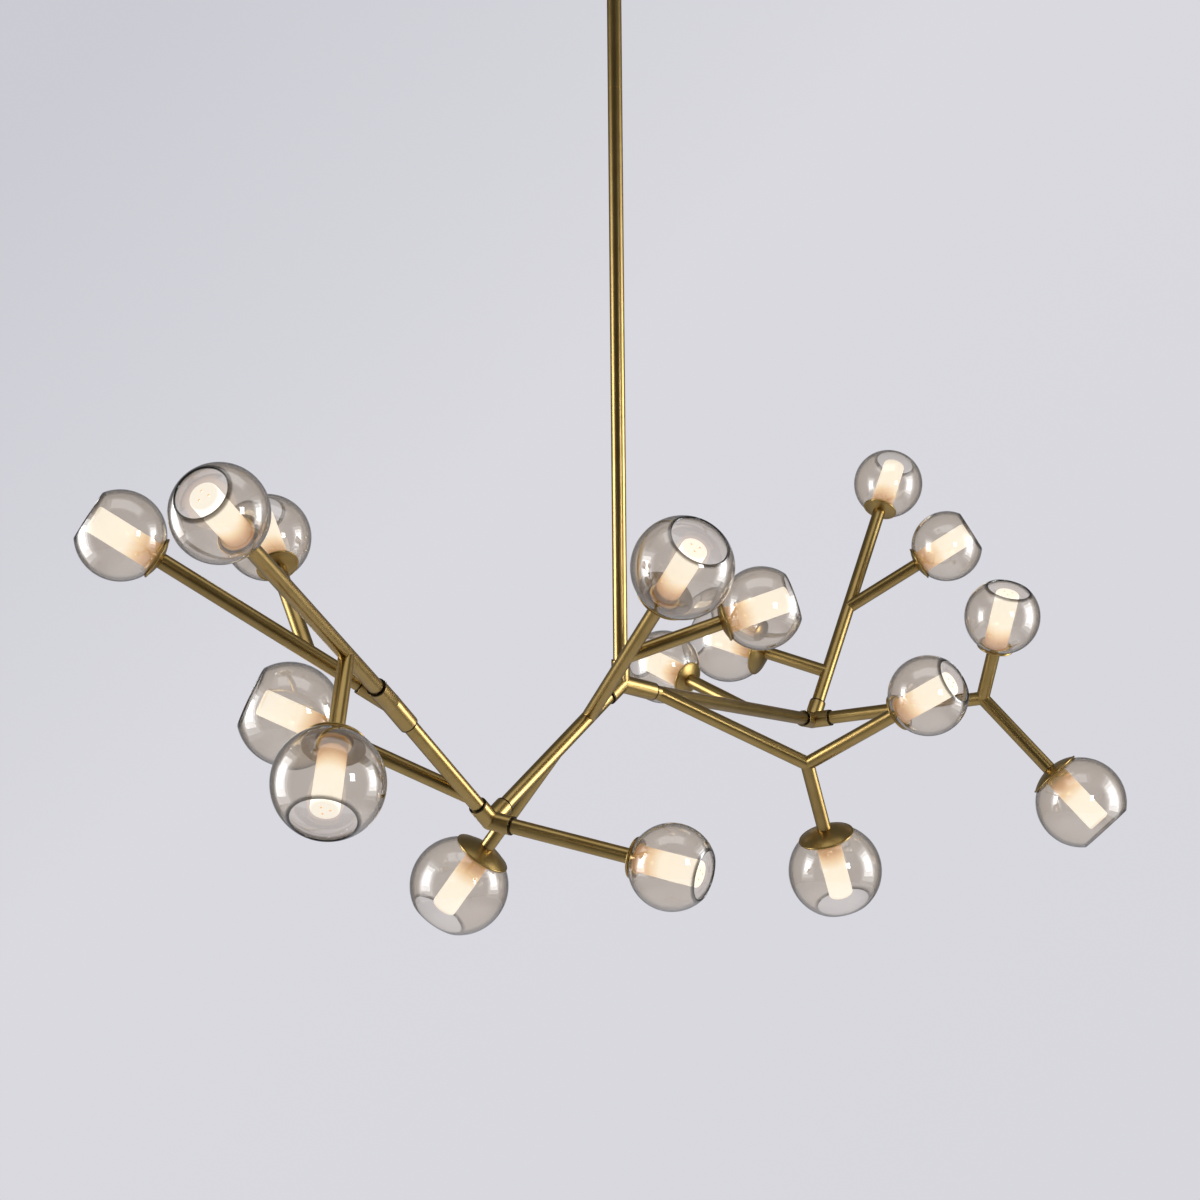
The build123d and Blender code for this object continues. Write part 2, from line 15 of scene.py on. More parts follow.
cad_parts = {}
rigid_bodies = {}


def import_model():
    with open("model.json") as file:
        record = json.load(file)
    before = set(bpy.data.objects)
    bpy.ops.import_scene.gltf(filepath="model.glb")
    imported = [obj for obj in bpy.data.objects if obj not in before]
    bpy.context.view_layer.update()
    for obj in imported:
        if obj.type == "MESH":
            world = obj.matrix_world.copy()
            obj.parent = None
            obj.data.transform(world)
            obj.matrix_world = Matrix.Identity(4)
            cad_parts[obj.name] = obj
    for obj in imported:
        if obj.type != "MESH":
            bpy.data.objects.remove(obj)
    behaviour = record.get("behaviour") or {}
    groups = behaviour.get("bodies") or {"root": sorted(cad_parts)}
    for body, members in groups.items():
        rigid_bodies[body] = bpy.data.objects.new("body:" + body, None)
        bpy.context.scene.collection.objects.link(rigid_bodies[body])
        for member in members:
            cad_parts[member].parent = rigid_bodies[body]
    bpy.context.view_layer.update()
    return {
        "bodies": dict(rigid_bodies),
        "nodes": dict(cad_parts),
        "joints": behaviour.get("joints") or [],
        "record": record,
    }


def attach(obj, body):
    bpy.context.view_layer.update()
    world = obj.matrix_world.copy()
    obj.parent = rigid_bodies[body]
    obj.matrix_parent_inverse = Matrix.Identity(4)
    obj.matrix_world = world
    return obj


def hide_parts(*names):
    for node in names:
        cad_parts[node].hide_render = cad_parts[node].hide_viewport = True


logging.basicConfig(level=logging.INFO, format="%(message)s")
log = logging.getLogger("chandelier")

MM = 0.001
# Map offset round the axis that marks the rings of painted shade at the hub sockets' rims.
PAINTED_SHADE_TURN = 2.0
TUBE_SIDES, CAP_SIDES, GLOBE_SIDES, SLEEVE_SIDES, CANOPY_SIDES = 56, 72, 96, 64, 128
SHARP_DEG = 28.0
SAME_POINT_M = 1e-7
CLUSTER_MIDDLE = (0.0, 0.0, -0.9)
Colour = tuple[float, float, float]
Profile = list[tuple[float, float]]


class Slot(Enum):
    """Material slots of the record."""

    BRASS = "brass"
    GLASS = "smoked_glass"
    FROSTED = "frosted_glass"
    LAMP = "lamp_glass"
    STEEL = "steel"
    TERMINAL = "terminal_plastic"


class HeadKind(Enum):
    """The two sizes of lamp head."""

    SMALL = "small"
    LARGE = "large"


@dataclass(frozen=True)
class HeadSizes:
    """Real sizes of one kind of lamp head, in mm."""

    globe_r: float
    mouth_r: float
    cap_r: float
    sleeve_z: float


HEADS: dict[HeadKind, HeadSizes] = {
    HeadKind.SMALL: HeadSizes(globe_r=50.0, mouth_r=29.5, cap_r=24.5, sleeve_z=-40.56),
    HeadKind.LARGE: HeadSizes(globe_r=60.0, mouth_r=36.5, cap_r=36.0, sleeve_z=-40.56),
}


@dataclass(frozen=True)
class SleeveSizes:
    """Real sizes of the frosted sleeve, in mm along the lamp head's axis."""

    radius: float = 15.5
    tip_z: float = 35.4
    length: float = 76.0
    wall: float = 2.0
    tip_round: float = 3.0
    vent_r: float = 1.3
    vent_circle_r: float = 6.0
    vent_count: int = 3

    @property
    def base_z(self) -> float:
        """Height of the sleeve's open end."""
        return self.tip_z - self.length


@dataclass(frozen=True)
class GlassSizes:
    """Wall and openings of the glass globes, in mm."""

    wall: float = 2.6
    neck_r: float = 14.0


@dataclass(frozen=True)
class CapSizes:
    """Shell of the domed caps, in mm."""

    fit: float = 0.2
    wall: float = 1.8
    bead_r: float = 1.3
    hole_r: float = 5.1
    seat_r: float = 9.4


@dataclass(frozen=True)
class HolderSizes:
    """Lampholder flange and shoulder seen through the glass, in mm."""

    flange_r: float = 19.0
    flange_t: float = 2.5
    fit: float = 0.1
    stud_r: float = 5.0
    spigot_h: float = 14.0
    edge_round: float = 0.6


@dataclass(frozen=True)
class TubeSizes:
    """Brass tube and the sockets of the hubs, in mm."""

    radius: float = 9.0
    bore_r: float = 8.0
    end_chamfer: float = 0.4
    socket_r: float = 11.4
    socket_round: float = 0.6
    socket_bore_r: float = 9.08
    seat_gap: float = 0.1
    # Ring of painted shade standing just past each socket rim.
    shade_ring_r: float = 11.2
    shade_ring_t: float = 1.6
    core_r: float = 11.6


@dataclass(frozen=True)
class CanopySizes:
    """Ceiling canopy and the collar under it, in mm."""

    radius: float = 70.0
    height: float = 58.0
    wall: float = 1.5
    edge_round: float = 6.0
    hole_r: float = 9.4
    collar_r: float = 15.0
    collar_h: float = 14.0
    collar_round: float = 1.0


class Nodes:
    """Small helper that adds and links shader nodes."""

    def __init__(self, tree: bpy.types.NodeTree) -> None:
        """Starts an empty tree.

        Args:
            tree: The node tree to fill.
        """
        self.tree = tree
        tree.nodes.clear()

    def add(self, kind: str, **values: object) -> bpy.types.Node:
        """Adds a node and sets its properties or input values.

        Args:
            kind: Blender's node type name.
            values: Node properties, or input names with spaces written as underscores.

        Returns:
            The new node.
        """
        node = self.tree.nodes.new(kind)
        for key, value in values.items():
            name = key.replace("_", " ")
            if hasattr(node, key):
                setattr(node, key, value)
            else:
                node.inputs[name].default_value = value
        return node

    def link(self, source: bpy.types.NodeSocket, target: bpy.types.NodeSocket) -> None:
        """Joins two sockets.

        Args:
            source: The output socket.
            target: The input socket.
        """
        self.tree.links.new(source, target)

    def ramp(self, factor: bpy.types.NodeSocket, stops: list[tuple[float, Colour]]) -> bpy.types.NodeSocket:
        """Adds a colour ramp.

        Args:
            factor: The socket that drives the ramp.
            stops: Positions and colours.

        Returns:
            The ramp's colour socket.
        """
        node = self.add("ShaderNodeValToRGB")
        elements = node.color_ramp.elements
        while len(elements) < len(stops):
            elements.new(0.5)
        for element, (position, colour) in zip(elements, stops):
            element.position = position
            element.color = (*colour, 1.0)
        self.link(factor, node.inputs["Fac"])
        return node.outputs["Color"]

    def noise(self, scale: float, detail: float) -> bpy.types.NodeSocket:
        """Adds noise in object space.

        Args:
            scale: Noise scale per metre.
            detail: Octaves of detail.

        Returns:
            The noise value socket.
        """
        coords = self.add("ShaderNodeTexCoord")
        texture = self.add("ShaderNodeTexNoise", Scale=scale, Detail=detail)
        self.link(coords.outputs["Object"], texture.inputs["Vector"])
        return texture.outputs["Fac"]

    def spread(self, factor: bpy.types.NodeSocket, low: float, high: float) -> bpy.types.NodeSocket:
        """Maps a 0 to 1 value to a range.

        Args:
            factor: The value.
            low: Result at 0.25, a usual low of the noise.
            high: Result at 0.75, a usual high of the noise.

        Returns:
            The mapped value socket.
        """
        node = self.add("ShaderNodeMapRange")
        node.inputs["From Min"].default_value = 0.25
        node.inputs["From Max"].default_value = 0.75
        node.inputs["To Min"].default_value = low
        node.inputs["To Max"].default_value = high
        self.link(factor, node.inputs["Value"])
        return node.outputs["Result"]

    def times(self, first: bpy.types.NodeSocket, second: bpy.types.NodeSocket) -> bpy.types.NodeSocket:
        """Multiplies two colours.

        Args:
            first: One colour socket.
            second: The other.

        Returns:
            The product's socket.
        """
        node = self.add("ShaderNodeMix", data_type="RGBA", blend_type="MULTIPLY")
        node.inputs[0].default_value = 1.0
        self.link(first, node.inputs[6])
        self.link(second, node.inputs[7])
        return node.outputs[2]

    def bump(self, height: bpy.types.NodeSocket, strength: float, distance: float) -> bpy.types.NodeSocket:
        """Adds a bump.

        Args:
            height: The height socket.
            strength: How strongly it shows.
            distance: Height in metres.

        Returns:
            The normal socket.
        """
        node = self.add("ShaderNodeBump", Strength=strength, Distance=distance)
        self.link(height, node.inputs["Height"])
        return node.outputs["Normal"]

    def scaled(self, value: bpy.types.NodeSocket, factor: float) -> bpy.types.NodeSocket:
        """Multiplies a value.

        Args:
            value: The value.
            factor: What it is multiplied by.

        Returns:
            The result's socket.
        """
        product = self.add("ShaderNodeMath", operation="MULTIPLY")
        product.inputs[1].default_value = factor
        self.link(value, product.inputs[0])
        return product.outputs[0]

    def surface(self, shader: bpy.types.Node) -> bpy.types.Node:
        """Ends the tree in a surface.

        Args:
            shader: The last shader node.

        Returns:
            The output node.
        """
        output = self.add("ShaderNodeOutputMaterial")
        self.link(shader.outputs[0], output.inputs["Surface"])
        return output


@dataclass(frozen=True)
class MetalFinish:
    """Satin metal with faint mottling, fine brush marks along each tube, and a near-black painted shade on
    the rings at the hub sockets' rims.
    """

    name: str
    dark: Colour
    light: Colour
    rough_low: float
    rough_high: float
    # Near-black painted shade for the rings at the socket rims, where that gap lies in shade.
    painted_shade: Colour = (0.05, 0.038, 0.022)

    def build(self) -> bpy.types.Material:
        """Makes the material.

        Returns:
            The new material.
        """
        material = bpy.data.materials.new(self.name)
        material.use_nodes = True
        nodes = Nodes(material.node_tree)
        mottle = nodes.noise(38.0, 2.0)
        uv = nodes.add("ShaderNodeUVMap", uv_map="along")
        stretch = nodes.add("ShaderNodeMapping", Scale=(60.0, 1.5, 1.0))
        brush = nodes.add("ShaderNodeTexNoise", Scale=1.0, Detail=3.0)
        nodes.link(uv.outputs["UV"], stretch.inputs["Vector"])
        nodes.link(stretch.outputs["Vector"], brush.inputs["Vector"])
        split = nodes.add("ShaderNodeSeparateXYZ")
        nodes.link(uv.outputs["UV"], split.inputs["Vector"])
        # Mask of the rings of painted shade at the socket rims, picked out by their map offset round the
        # axis.
        shade_ring_mask = nodes.add("ShaderNodeMath", operation="GREATER_THAN")
        shade_ring_mask.inputs[1].default_value = PAINTED_SHADE_TURN - 0.5
        nodes.link(split.outputs["X"], shade_ring_mask.inputs[0])
        colour = nodes.add("ShaderNodeMix", data_type="RGBA")
        nodes.link(shade_ring_mask.outputs[0], colour.inputs[0])
        nodes.link(nodes.ramp(mottle, [(0.3, self.dark), (0.7, self.light)]), colour.inputs[6])
        colour.inputs[7].default_value = (*self.painted_shade, 1.0)
        shader = nodes.add("ShaderNodeBsdfPrincipled", Metallic=1.0)
        nodes.link(colour.outputs[2], shader.inputs["Base Color"])
        roughness = nodes.spread(brush.outputs["Fac"], self.rough_low, self.rough_high)
        nodes.link(roughness, shader.inputs["Roughness"])
        nodes.surface(shader)
        return material


@dataclass(frozen=True)
class GlassFinish:
    """Clear glass with its smoke in the wall, darker where it is seen along the wall and at the cut rim."""

    name: str
    thin: Colour
    dense: Colour
    smoke: Colour
    density: float
    index: float
    lustre_index: float
    lustre_roughness: float
    limb: tuple[tuple[float, Colour], ...]
    rim: tuple[tuple[float, Colour], ...]

    def build(self) -> bpy.types.Material:
        """Makes the material.

        Returns:
            The new material.
        """
        material = bpy.data.materials.new(self.name)
        material.use_nodes = True
        nodes = Nodes(material.node_tree)
        swirl = nodes.noise(14.0, 1.0)
        shader = nodes.add("ShaderNodeBsdfPrincipled", Roughness=0.0, IOR=self.index)
        shader.inputs["Transmission Weight"].default_value = 1.0
        shader.inputs["Coat Weight"].default_value = 1.0
        shader.inputs["Coat Roughness"].default_value = self.lustre_roughness
        shader.inputs["Coat IOR"].default_value = self.lustre_index
        slant = nodes.add("ShaderNodeLayerWeight", Blend=0.5)
        limb = nodes.ramp(slant.outputs["Facing"], list(self.limb))
        uv = nodes.add("ShaderNodeUVMap", uv_map="along")
        split = nodes.add("ShaderNodeSeparateXYZ")
        nodes.link(uv.outputs["UV"], split.inputs["Vector"])
        rim = nodes.ramp(split.outputs["Y"], list(self.rim))
        body = nodes.ramp(swirl, [(0.3, self.thin), (0.7, self.dense)])
        nodes.link(nodes.times(nodes.times(body, limb), rim), shader.inputs["Base Color"])
        nodes.link(nodes.bump(swirl, 0.03, 0.001), shader.inputs["Normal"])
        smoke = nodes.add("ShaderNodeVolumeAbsorption", Color=(*self.smoke, 1.0), Density=self.density)
        output = nodes.surface(shader)
        nodes.link(smoke.outputs["Volume"], output.inputs["Volume"])
        return material


@dataclass(frozen=True)
class GlowFinish:
    """Frosted cover lit from inside: amber at the base, white along the lamp."""

    name: str
    frost: Colour
    stops: tuple[tuple[float, Colour], ...]
    strength: float

    def build(self) -> bpy.types.Material:
        """Makes the material.

        Returns:
            The new material.
        """
        material = bpy.data.materials.new(self.name)
        material.use_nodes = True
        nodes = Nodes(material.node_tree)
        cloud = nodes.noise(260.0, 2.0)
        uv = nodes.add("ShaderNodeUVMap", uv_map="along")
        split = nodes.add("ShaderNodeSeparateXYZ")
        nodes.link(uv.outputs["UV"], split.inputs["Vector"])
        glow = nodes.ramp(split.outputs["Y"], list(self.stops))
        shader = nodes.add("ShaderNodeBsdfPrincipled", Base_Color=(*self.frost, 1.0))
        shader.inputs["Emission Strength"].default_value = self.strength
        nodes.link(glow, shader.inputs["Emission Color"])
        nodes.link(nodes.spread(cloud, 0.45, 0.6), shader.inputs["Roughness"])
        nodes.link(nodes.bump(cloud, 0.05, 0.0002), shader.inputs["Normal"])
        nodes.surface(shader)
        return material


@dataclass(frozen=True)
class PlainFinish:
    """Opal glass or moulded plastic with slight colour variation."""

    name: str
    low: Colour
    high: Colour
    roughness: float

    def build(self) -> bpy.types.Material:
        """Makes the material.

        Returns:
            The new material.
        """
        material = bpy.data.materials.new(self.name)
        material.use_nodes = True
        nodes = Nodes(material.node_tree)
        cloud = nodes.noise(120.0, 3.0)
        shader = nodes.add("ShaderNodeBsdfPrincipled", Roughness=self.roughness)
        nodes.link(nodes.ramp(cloud, [(0.3, self.low), (0.7, self.high)]), shader.inputs["Base Color"])
        nodes.link(nodes.bump(cloud, 0.06, 0.0003), shader.inputs["Normal"])
        nodes.surface(shader)
        return material


# Painted light: a brighter copy of the brass for the lampholder flanges, standing in for the glow they catch
# inside the globes.
PAINTED_LIGHT_FLANGE_BRASS = MetalFinish("flange_brass_painted_light", (0.90, 0.62, 0.25), (0.96, 0.70, 0.32), 0.34, 0.42)
FINISHES = {
    Slot.BRASS: MetalFinish("satin_antique_brass", (0.40, 0.274, 0.096), (0.46, 0.322, 0.122), 0.27, 0.32),
    Slot.STEEL: MetalFinish("zinc_plated_steel", (0.50, 0.50, 0.50), (0.66, 0.66, 0.67), 0.30, 0.45),
    Slot.GLASS: GlassFinish(
        "smoked_glass",
        (1.0, 0.99, 0.98),
        (0.98, 0.955, 0.93),
        (0.66, 0.56, 0.40),
        140.0,
        1.5,
        1.8,
        0.03,
        (
            (0.0, (1.0, 1.0, 1.0)),
            (0.64, (1.0, 1.0, 1.0)),
            (0.77, (0.30, 0.28, 0.26)),
            (0.86, (0.30, 0.28, 0.26)),
            (1.0, (0.9, 0.9, 0.9)),
        ),
        (
            (0.0, (1.0, 1.0, 1.0)),
            (0.874, (1.0, 1.0, 1.0)),
            (0.888, (0.09, 0.08, 0.07)),
            (1.0, (0.09, 0.08, 0.07)),
        ),
    ),
    Slot.FROSTED: GlowFinish(
        "frosted_glow",
        (0.45, 0.34, 0.22),
        (
            (0.0, (0.38, 0.20, 0.08)),
            (0.12, (0.55, 0.33, 0.17)),
            (0.26, (0.86, 0.66, 0.43)),
            (0.42, (1.0, 0.95, 0.82)),
            (0.95, (1.0, 0.98, 0.89)),
            (1.0, (0.66, 0.62, 0.54)),
        ),
        1.2,
    ),
    Slot.LAMP: PlainFinish("opal_lamp", (0.90, 0.86, 0.78), (0.96, 0.93, 0.86), 0.35),
    Slot.TERMINAL: PlainFinish("terminal_polyamide", (0.86, 0.86, 0.84), (0.93, 0.93, 0.91), 0.50),
}


@dataclass
class Island:
    """One CAD solid of a node, as plain arrays in metres."""

    points: np.ndarray
    middles: np.ndarray
    normals: np.ndarray
    areas: np.ndarray

    @classmethod
    def all_of(cls, node: bpy.types.Object) -> list["Island"]:
        """Splits a CAD node into its solids.

        Args:
            node: The CAD node.

        Returns:
            Its solids, in order of place.
        """
        bm = bmesh.new()
        bm.from_mesh(node.data)
        bmesh.ops.remove_doubles(bm, verts=bm.verts, dist=2e-6)
        unseen, islands = set(bm.faces), []
        while unseen:
            faces, edge = [], [unseen.pop()]
            while edge:
                face = edge.pop()
                faces.append(face)
                fresh = {near for vert in face.verts for near in vert.link_faces} & unseen
                unseen -= fresh
                edge.extend(fresh)
            islands.append(cls.from_faces(faces))
        bm.free()
        return sorted(islands, key=lambda island: tuple(island.points.mean(0)))

    @classmethod
    def from_faces(cls, faces: list[bmesh.types.BMFace]) -> "Island":
        """Copies some faces into arrays.

        Args:
            faces: The faces of one solid.

        Returns:
            The solid.
        """
        return cls(
            np.array(sorted({tuple(vert.co) for face in faces for vert in face.verts})),
            np.array([tuple(face.calc_center_median()) for face in faces]),
            np.array([tuple(face.normal) for face in faces]),
            np.array([face.calc_area() for face in faces]),
        )


@dataclass
class LampHead:
    """One lamp head's place, read from its CAD shade."""

    kind: HeadKind
    centre: Vector
    axis: Vector

    @classmethod
    def from_shade(cls, shade: Island) -> "LampHead":
        """Finds a globe's centre and the way its mouth faces.

        Args:
            shade: One CAD shade.

        Returns:
            The lamp head.
        """
        points = shade.points
        centre = cls.sphere_centre(points)
        for _ in range(3):
            reach = np.linalg.norm(points - centre, axis=1)
            centre = cls.sphere_centre(points[reach > reach.max() - 0.0003])
        reach = np.linalg.norm(points - centre, axis=1)
        axis = centre - (shade.middles * shade.areas[:, None]).sum(0) / shade.areas.sum()
        axis /= np.linalg.norm(axis)
        for _ in range(3):
            height = (points - centre) @ axis
            ring = points[height > height.max() - 0.0004]
            normal = np.linalg.svd(ring - ring.mean(0))[2][2]
            axis = normal * np.sign(normal @ axis)
        kind = HeadKind.LARGE if reach.max() > 0.055 else HeadKind.SMALL
        return cls(kind, Vector(centre), Vector(axis))

    @staticmethod
    def sphere_centre(points: np.ndarray) -> np.ndarray:
        """Centre of the sphere that fits some points best.

        Args:
            points: Points in metres, one per row.

        Returns:
            The centre.
        """
        rows = np.hstack([2 * points, np.ones((len(points), 1))])
        return np.linalg.lstsq(rows, (points**2).sum(1), rcond=None)[0][:3]

    @property
    def sizes(self) -> HeadSizes:
        """Real sizes of this head's kind."""
        return HEADS[self.kind]

    @property
    def matrix(self) -> Matrix:
        """Placement of a piece made in mm about the globe's centre with its mouth towards +Z."""
        return stand_at(self.centre, self.axis)


@dataclass
class TubeRun:
    """One straight tube's place, read from its CAD solid."""

    start: Vector
    end: Vector
    domed: bool

    @classmethod
    def from_solid(cls, solid: Island, sizes: "TubeSizes") -> "TubeRun":
        """Finds a tube's axis, its ends and whether its start is domed.

        Args:
            solid: One CAD tube.
            sizes: The tube's real sizes.

        Returns:
            The run.
        """
        axis = cls.least_spread(solid.normals, solid.areas)
        side = np.abs(solid.normals @ axis) < 0.02
        axis = cls.least_spread(solid.normals[side], solid.areas[side])
        across = np.linalg.svd(axis[None])[2][1:]
        flat = solid.points @ across.T
        middle = flat.mean(0)
        for _ in range(4):
            reach = np.linalg.norm(flat - middle, axis=1)
            outer = flat[reach > reach.max() - 0.0003]
            rows = np.hstack([2 * outer, np.ones((len(outer), 1))])
            middle = np.linalg.lstsq(rows, (outer**2).sum(1), rcond=None)[0][:2]
        reach = np.linalg.norm(flat - middle, axis=1)
        height = solid.points @ axis
        tip = height[reach < 2 * MM]
        if len(tip) and abs(tip.mean() - height.max()) < abs(tip.mean() - height.min()):
            axis, height = -axis, -height
        low = height.min() + (sizes.radius * MM if len(tip) else 0.0)
        foot = middle @ across
        return cls(Vector(foot + axis * low), Vector(foot + axis * height.max()), bool(len(tip)))

    @staticmethod
    def least_spread(normals: np.ndarray, areas: np.ndarray) -> np.ndarray:
        """Direction that some face normals lean towards least, the axis of a round bar.

        Args:
            normals: Face normals, one per row.
            areas: Face areas.

        Returns:
            The direction.
        """
        return np.linalg.eigh((normals * areas[:, None]).T @ normals)[1][:, 0]

    @property
    def way(self) -> Vector:
        """Direction from the start to the end."""
        return (self.end - self.start).normalized()


def stand_at(place: Vector, up: Vector) -> Matrix:
    """Placement of a piece made in mm about the origin.

    Args:
        place: Where its origin goes, in metres.
        up: Where its +Z points.

    Returns:
        The placement.
    """
    turn = up.to_track_quat("Z", "Y").to_matrix().to_4x4()
    return Matrix.Translation(place) @ turn @ Matrix.Scale(MM, 4)


@dataclass
class Turned:
    """Builder of pieces turned from a closed profile."""

    segments: int

    def add(
        self, bm: bmesh.types.BMesh, profile: Profile, along: tuple[float, float], first_turn: float = 0.0
    ) -> list[bmesh.types.BMFace]:
        """Spins a closed profile of (radius, height) points round the Z axis.

        Args:
            bm: The mesh to add to.
            profile: The closed profile, in order.
            along: Heights that count as 0 and 1 in the map along the axis.
            first_turn: Where the map round the axis starts; an offset past 1 marks a ring of painted shade
                at a socket rim.

        Returns:
            The new faces.
        """
        spun = bmesh.new()
        verts = [spun.verts.new((radius, 0.0, height)) for radius, height in profile]
        edges = [spun.edges.new((a, b)) for a, b in zip(verts, verts[1:] + verts[:1])]
        turn = {"cent": (0, 0, 0), "axis": (0, 0, 1), "angle": math.tau, "steps": self.segments}
        bmesh.ops.spin(spun, geom=verts + edges, use_merge=True, **turn)
        self.map_along(spun, list(spun.faces), along, first_turn)
        mesh = bpy.data.meshes.new("spun")
        spun.to_mesh(mesh)
        spun.free()
        count = len(bm.faces)
        if "along" not in bm.loops.layers.uv:
            bm.loops.layers.uv.new("along")
        bm.from_mesh(mesh)
        bpy.data.meshes.remove(mesh)
        return list(bm.faces)[count:]

    @staticmethod
    def map_along(
        bm: bmesh.types.BMesh,
        faces: list[bmesh.types.BMFace],
        along: tuple[float, float],
        first_turn: float = 0.0,
    ) -> None:
        """Writes a map whose V runs along the axis and whose U runs round it.

        Args:
            bm: The mesh.
            faces: The faces to map.
            along: Heights that count as 0 and 1.
            first_turn: Where U starts.
        """
        layer = bm.loops.layers.uv.get("along") or bm.loops.layers.uv.new("along")
        low, high = along
        for face in faces:
            middle = face.calc_center_median()
            turn = math.atan2(middle.y, middle.x)
            for loop in face.loops:
                x, y, z = loop.vert.co
                off = (math.atan2(y, x) - turn + math.pi) % math.tau - math.pi
                loop[layer].uv = (first_turn + (turn + off) / math.tau + 0.5, (z - low) / (high - low))

    @staticmethod
    def arc(
        radius: float, start: float, end: float, steps: int, centre: tuple[float, float] = (0.0, 0.0)
    ) -> Profile:
        """Points on an arc, angles from the radius axis towards +Z.

        Args:
            radius: Arc radius.
            start: First angle in radians.
            end: Last angle in radians.
            steps: Number of steps.
            centre: Arc centre.

        Returns:
            The points.
        """
        turns = [start + (end - start) * i / steps for i in range(steps + 1)]
        return [(centre[0] + radius * math.cos(t), centre[1] + radius * math.sin(t)) for t in turns]


class PieceMaker:
    """Turns finished meshes into pieces that ride the CAD bodies."""

    def __init__(self, frame: dict) -> None:
        """Keeps the frame and makes every finish once.
        """
        self.frame = frame
        self.finishes = {slot: finish.build() for slot, finish in FINISHES.items()}
        # Brighter brass with painted light, for the lampholder flanges.
        self.flange = PAINTED_LIGHT_FLANGE_BRASS.build()

    def finish_cad(self) -> None:
        """Gives every CAD node the finish of its record slot."""
        for entry in self.frame["record"]["subparts"]:
            node, slot = entry["node"], Slot(entry["material_slot"])
            mesh = self.frame["nodes"][node].data
            mesh.materials.clear()
            mesh.materials.append(self.finishes[slot])
            log.info("finish %s on %s", slot.value, node)

    def piece(self, name: str, bm: bmesh.types.BMesh, slot: Slot, body: str, node: str) -> bpy.types.Object:
        """Makes a piece that stands for a CAD node.

        Args:
            name: The piece's name.
            bm: Its finished mesh, in place in metres.
            slot: Its material slot.
            body: The body it rides.
            node: The CAD node it stands for.

        Returns:
            The new object.
        """
        mesh = bpy.data.meshes.new(name)
        bm.to_mesh(mesh)
        bm.free()
        mesh.shade_smooth()
        mesh.set_sharp_from_angle(angle=math.radians(SHARP_DEG))
        mesh.materials.append(self.finishes[slot])
        obj = bpy.data.objects.new(name, mesh)
        bpy.context.scene.collection.objects.link(obj)
        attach(obj, body)
        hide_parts(node)
        log.info("piece %s: %d faces, rides %s", name, len(mesh.polygons), body)
        return obj


